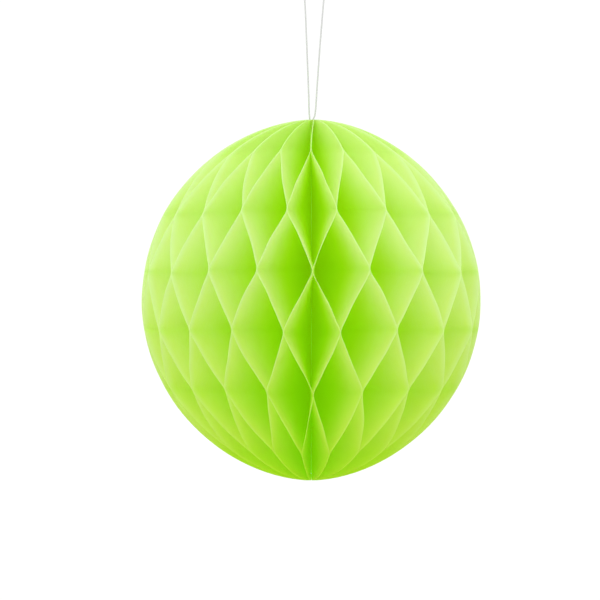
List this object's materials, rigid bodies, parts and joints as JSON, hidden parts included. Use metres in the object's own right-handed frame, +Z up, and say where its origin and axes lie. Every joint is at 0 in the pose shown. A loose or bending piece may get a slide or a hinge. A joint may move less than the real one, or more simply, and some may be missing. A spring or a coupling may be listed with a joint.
{
  "type": "paper honeycomb ball",
  "caption": "Hanging tissue-paper honeycomb ball: glued leaves fan out round a bound spine into diamond cells, with a thread loop at the top; it folds flat between two boards.",
  "frame": {"origin": "middle of the spine, which is the centre of the opened ball", "axes": "+Z up along the spine to the hanging loop, -Y to the front, seam with the two cover boards at +Y"},
  "size_m": [0.0938, 0.0938, 0.1372],
  "materials": {
    "tissue": "translucent lime tissue paper, matt",
    "cover_card": "plain white card, matt",
    "adhesive": "thin clear double-sided adhesive, slightly glossy",
    "binding": "glued tissue edges with cotton stitching that the dye has stained",
    "thread": "twisted white thread"
  },
  "bodies": {
    "spine": {"spine_binding": "binding", "top_knot": "thread", "bottom_knot": "binding", "hanging_loop": "thread", "left_cover_board": "cover_card", "upper_adhesive_pad": "adhesive", "middle_adhesive_pad": "adhesive", "lower_adhesive_pad": "adhesive"},
    "right_cover": {"right_cover_board": "cover_card"},
    "leaf_01": {"leaf_01": "tissue"},
    "leaf_02": {"leaf_02": "tissue"},
    "leaf_03": {"leaf_03": "tissue"},
    "leaf_04": {"leaf_04": "tissue"},
    "leaf_05": {"leaf_05": "tissue"},
    "leaf_06": {"leaf_06": "tissue"},
    "leaf_07": {"leaf_07": "tissue"},
    "leaf_08": {"leaf_08": "tissue"},
    "leaf_09": {"leaf_09": "tissue"},
    "leaf_10": {"leaf_10": "tissue"},
    "leaf_11": {"leaf_11": "tissue"},
    "leaf_12": {"leaf_12": "tissue"},
    "leaf_13": {"leaf_13": "tissue"},
    "leaf_14": {"leaf_14": "tissue"},
    "leaf_15": {"leaf_15": "tissue"},
    "leaf_16": {"leaf_16": "tissue"},
    "leaf_17": {"leaf_17": "tissue"},
    "leaf_18": {"leaf_18": "tissue"},
    "leaf_19": {"leaf_19": "tissue"},
    "leaf_20": {"leaf_20": "tissue"},
    "leaf_21": {"leaf_21": "tissue"},
    "leaf_22": {"leaf_22": "tissue"},
    "leaf_23": {"leaf_23": "tissue"},
    "leaf_24": {"leaf_24": "tissue"},
    "leaf_25": {"leaf_25": "tissue"},
    "leaf_26": {"leaf_26": "tissue"},
    "leaf_27": {"leaf_27": "tissue"},
    "leaf_28": {"leaf_28": "tissue"},
    "leaf_29": {"leaf_29": "tissue"},
    "leaf_30": {"leaf_30": "tissue"},
    "leaf_31": {"leaf_31": "tissue"},
    "leaf_32": {"leaf_32": "tissue"},
    "leaf_33": {"leaf_33": "tissue"},
    "leaf_34": {"leaf_34": "tissue"},
    "leaf_35": {"leaf_35": "tissue"},
    "leaf_36": {"leaf_36": "tissue"}
  },
  "joints": [
    {"name": "fold", "type": "hinge", "parent": "spine", "child": "right_cover", "pos_m": [0, 0, 0], "axis": [0, 0, 1], "range_deg": [-354, 0]},
    {"name": "fold_leaf_01", "type": "hinge", "parent": "spine", "child": "leaf_01", "pos_m": [0, 0, 0], "axis": [0, 0, 1], "range_deg": [-4.98, 0], "deforming": ["leaf_01"]},
    {"name": "fold_leaf_02", "type": "hinge", "parent": "spine", "child": "leaf_02", "pos_m": [0, 0, 0], "axis": [0, 0, 1], "range_deg": [-15.08, 0], "deforming": ["leaf_02"]},
    {"name": "fold_leaf_03", "type": "hinge", "parent": "spine", "child": "leaf_03", "pos_m": [0, 0, 0], "axis": [0, 0, 1], "range_deg": [-25.4, 0], "deforming": ["leaf_03"]},
    {"name": "fold_leaf_04", "type": "hinge", "parent": "spine", "child": "leaf_04", "pos_m": [0, 0, 0], "axis": [0, 0, 1], "range_deg": [-35.88, 0], "deforming": ["leaf_04"]},
    {"name": "fold_leaf_05", "type": "hinge", "parent": "spine", "child": "leaf_05", "pos_m": [0, 0, 0], "axis": [0, 0, 1], "range_deg": [-46.46, 0], "deforming": ["leaf_05"]},
    {"name": "fold_leaf_06", "type": "hinge", "parent": "spine", "child": "leaf_06", "pos_m": [0, 0, 0], "axis": [0, 0, 1], "range_deg": [-57.04, 0], "deforming": ["leaf_06"]},
    {"name": "fold_leaf_07", "type": "hinge", "parent": "spine", "child": "leaf_07", "pos_m": [0, 0, 0], "axis": [0, 0, 1], "range_deg": [-67.53, 0], "deforming": ["leaf_07"]},
    {"name": "fold_leaf_08", "type": "hinge", "parent": "spine", "child": "leaf_08", "pos_m": [0, 0, 0], "axis": [0, 0, 1], "range_deg": [-77.85, 0], "deforming": ["leaf_08"]},
    {"name": "fold_leaf_09", "type": "hinge", "parent": "spine", "child": "leaf_09", "pos_m": [0, 0, 0], "axis": [0, 0, 1], "range_deg": [-87.94, 0], "deforming": ["leaf_09"]},
    {"name": "fold_leaf_10", "type": "hinge", "parent": "spine", "child": "leaf_10", "pos_m": [0, 0, 0], "axis": [0, 0, 1], "range_deg": [-97.78, 0], "deforming": ["leaf_10"]},
    {"name": "fold_leaf_11", "type": "hinge", "parent": "spine", "child": "leaf_11", "pos_m": [0, 0, 0], "axis": [0, 0, 1], "range_deg": [-107.35, 0], "deforming": ["leaf_11"]},
    {"name": "fold_leaf_12", "type": "hinge", "parent": "spine", "child": "leaf_12", "pos_m": [0, 0, 0], "axis": [0, 0, 1], "range_deg": [-116.7, 0], "deforming": ["leaf_12"]},
    {"name": "fold_leaf_13", "type": "hinge", "parent": "spine", "child": "leaf_13", "pos_m": [0, 0, 0], "axis": [0, 0, 1], "range_deg": [-125.88, 0], "deforming": ["leaf_13"]},
    {"name": "fold_leaf_14", "type": "hinge", "parent": "spine", "child": "leaf_14", "pos_m": [0, 0, 0], "axis": [0, 0, 1], "range_deg": [-134.96, 0], "deforming": ["leaf_14"]},
    {"name": "fold_leaf_15", "type": "hinge", "parent": "spine", "child": "leaf_15", "pos_m": [0, 0, 0], "axis": [0, 0, 1], "range_deg": [-144.05, 0], "deforming": ["leaf_15"]},
    {"name": "fold_leaf_16", "type": "hinge", "parent": "spine", "child": "leaf_16", "pos_m": [0, 0, 0], "axis": [0, 0, 1], "range_deg": [-153.23, 0], "deforming": ["leaf_16"]},
    {"name": "fold_leaf_17", "type": "hinge", "parent": "spine", "child": "leaf_17", "pos_m": [0, 0, 0], "axis": [0, 0, 1], "range_deg": [-162.58, 0], "deforming": ["leaf_17"]},
    {"name": "fold_leaf_18", "type": "hinge", "parent": "spine", "child": "leaf_18", "pos_m": [0, 0, 0], "axis": [0, 0, 1], "range_deg": [-172.15, 0], "deforming": ["leaf_18"]},
    {"name": "fold_leaf_19", "type": "hinge", "parent": "spine", "child": "leaf_19", "pos_m": [0, 0, 0], "axis": [0, 0, 1], "range_deg": [-181.98, 0], "deforming": ["leaf_19"]},
    {"name": "fold_leaf_20", "type": "hinge", "parent": "spine", "child": "leaf_20", "pos_m": [0, 0, 0], "axis": [0, 0, 1], "range_deg": [-192.08, 0], "deforming": ["leaf_20"]},
    {"name": "fold_leaf_21", "type": "hinge", "parent": "spine", "child": "leaf_21", "pos_m": [0, 0, 0], "axis": [0, 0, 1], "range_deg": [-202.4, 0], "deforming": ["leaf_21"]},
    {"name": "fold_leaf_22", "type": "hinge", "parent": "spine", "child": "leaf_22", "pos_m": [0, 0, 0], "axis": [0, 0, 1], "range_deg": [-212.88, 0], "deforming": ["leaf_22"]},
    {"name": "fold_leaf_23", "type": "hinge", "parent": "spine", "child": "leaf_23", "pos_m": [0, 0, 0], "axis": [0, 0, 1], "range_deg": [-223.46, 0], "deforming": ["leaf_23"]},
    {"name": "fold_leaf_24", "type": "hinge", "parent": "spine", "child": "leaf_24", "pos_m": [0, 0, 0], "axis": [0, 0, 1], "range_deg": [-234.04, 0], "deforming": ["leaf_24"]},
    {"name": "fold_leaf_25", "type": "hinge", "parent": "spine", "child": "leaf_25", "pos_m": [0, 0, 0], "axis": [0, 0, 1], "range_deg": [-244.53, 0], "deforming": ["leaf_25"]},
    {"name": "fold_leaf_26", "type": "hinge", "parent": "spine", "child": "leaf_26", "pos_m": [0, 0, 0], "axis": [0, 0, 1], "range_deg": [-254.85, 0], "deforming": ["leaf_26"]},
    {"name": "fold_leaf_27", "type": "hinge", "parent": "spine", "child": "leaf_27", "pos_m": [0, 0, 0], "axis": [0, 0, 1], "range_deg": [-264.94, 0], "deforming": ["leaf_27"]},
    {"name": "fold_leaf_28", "type": "hinge", "parent": "spine", "child": "leaf_28", "pos_m": [0, 0, 0], "axis": [0, 0, 1], "range_deg": [-274.78, 0], "deforming": ["leaf_28"]},
    {"name": "fold_leaf_29", "type": "hinge", "parent": "spine", "child": "leaf_29", "pos_m": [0, 0, 0], "axis": [0, 0, 1], "range_deg": [-284.35, 0], "deforming": ["leaf_29"]},
    {"name": "fold_leaf_30", "type": "hinge", "parent": "spine", "child": "leaf_30", "pos_m": [0, 0, 0], "axis": [0, 0, 1], "range_deg": [-293.7, 0], "deforming": ["leaf_30"]},
    {"name": "fold_leaf_31", "type": "hinge", "parent": "spine", "child": "leaf_31", "pos_m": [0, 0, 0], "axis": [0, 0, 1], "range_deg": [-302.88, 0], "deforming": ["leaf_31"]},
    {"name": "fold_leaf_32", "type": "hinge", "parent": "spine", "child": "leaf_32", "pos_m": [0, 0, 0], "axis": [0, 0, 1], "range_deg": [-311.96, 0], "deforming": ["leaf_32"]},
    {"name": "fold_leaf_33", "type": "hinge", "parent": "spine", "child": "leaf_33", "pos_m": [0, 0, 0], "axis": [0, 0, 1], "range_deg": [-321.05, 0], "deforming": ["leaf_33"]},
    {"name": "fold_leaf_34", "type": "hinge", "parent": "spine", "child": "leaf_34", "pos_m": [0, 0, 0], "axis": [0, 0, 1], "range_deg": [-330.23, 0], "deforming": ["leaf_34"]},
    {"name": "fold_leaf_35", "type": "hinge", "parent": "spine", "child": "leaf_35", "pos_m": [0, 0, 0], "axis": [0, 0, 1], "range_deg": [-339.58, 0], "deforming": ["leaf_35"]},
    {"name": "fold_leaf_36", "type": "hinge", "parent": "spine", "child": "leaf_36", "pos_m": [0, 0, 0], "axis": [0, 0, 1], "range_deg": [-349.15, 0], "deforming": ["leaf_36"]}
  ],
  "couplings": [
    {"joint": "fold_leaf_01", "follows": "fold", "ratio": 0.014077},
    {"joint": "fold_leaf_02", "follows": "fold", "ratio": 0.042586},
    {"joint": "fold_leaf_03", "follows": "fold", "ratio": 0.071738},
    {"joint": "fold_leaf_04", "follows": "fold", "ratio": 0.10137},
    {"joint": "fold_leaf_05", "follows": "fold", "ratio": 0.13125},
    {"joint": "fold_leaf_06", "follows": "fold", "ratio": 0.16113},
    {"joint": "fold_leaf_07", "follows": "fold", "ratio": 0.19076},
    {"joint": "fold_leaf_08", "follows": "fold", "ratio": 0.21991},
    {"joint": "fold_leaf_09", "follows": "fold", "ratio": 0.24842},
    {"joint": "fold_leaf_10", "follows": "fold", "ratio": 0.2762},
    {"joint": "fold_leaf_11", "follows": "fold", "ratio": 0.30325},
    {"joint": "fold_leaf_12", "follows": "fold", "ratio": 0.32965},
    {"joint": "fold_leaf_13", "follows": "fold", "ratio": 0.35558},
    {"joint": "fold_leaf_14", "follows": "fold", "ratio": 0.38125},
    {"joint": "fold_leaf_15", "follows": "fold", "ratio": 0.40692},
    {"joint": "fold_leaf_16", "follows": "fold", "ratio": 0.43285},
    {"joint": "fold_leaf_17", "follows": "fold", "ratio": 0.45925},
    {"joint": "fold_leaf_18", "follows": "fold", "ratio": 0.4863},
    {"joint": "fold_leaf_19", "follows": "fold", "ratio": 0.51408},
    {"joint": "fold_leaf_20", "follows": "fold", "ratio": 0.54259},
    {"joint": "fold_leaf_21", "follows": "fold", "ratio": 0.57174},
    {"joint": "fold_leaf_22", "follows": "fold", "ratio": 0.60137},
    {"joint": "fold_leaf_23", "follows": "fold", "ratio": 0.63125},
    {"joint": "fold_leaf_24", "follows": "fold", "ratio": 0.66113},
    {"joint": "fold_leaf_25", "follows": "fold", "ratio": 0.69076},
    {"joint": "fold_leaf_26", "follows": "fold", "ratio": 0.71991},
    {"joint": "fold_leaf_27", "follows": "fold", "ratio": 0.74842},
    {"joint": "fold_leaf_28", "follows": "fold", "ratio": 0.7762},
    {"joint": "fold_leaf_29", "follows": "fold", "ratio": 0.80325},
    {"joint": "fold_leaf_30", "follows": "fold", "ratio": 0.82965},
    {"joint": "fold_leaf_31", "follows": "fold", "ratio": 0.85558},
    {"joint": "fold_leaf_32", "follows": "fold", "ratio": 0.88125},
    {"joint": "fold_leaf_33", "follows": "fold", "ratio": 0.90692},
    {"joint": "fold_leaf_34", "follows": "fold", "ratio": 0.93285},
    {"joint": "fold_leaf_35", "follows": "fold", "ratio": 0.95925},
    {"joint": "fold_leaf_36", "follows": "fold", "ratio": 0.9863}
  ]
}
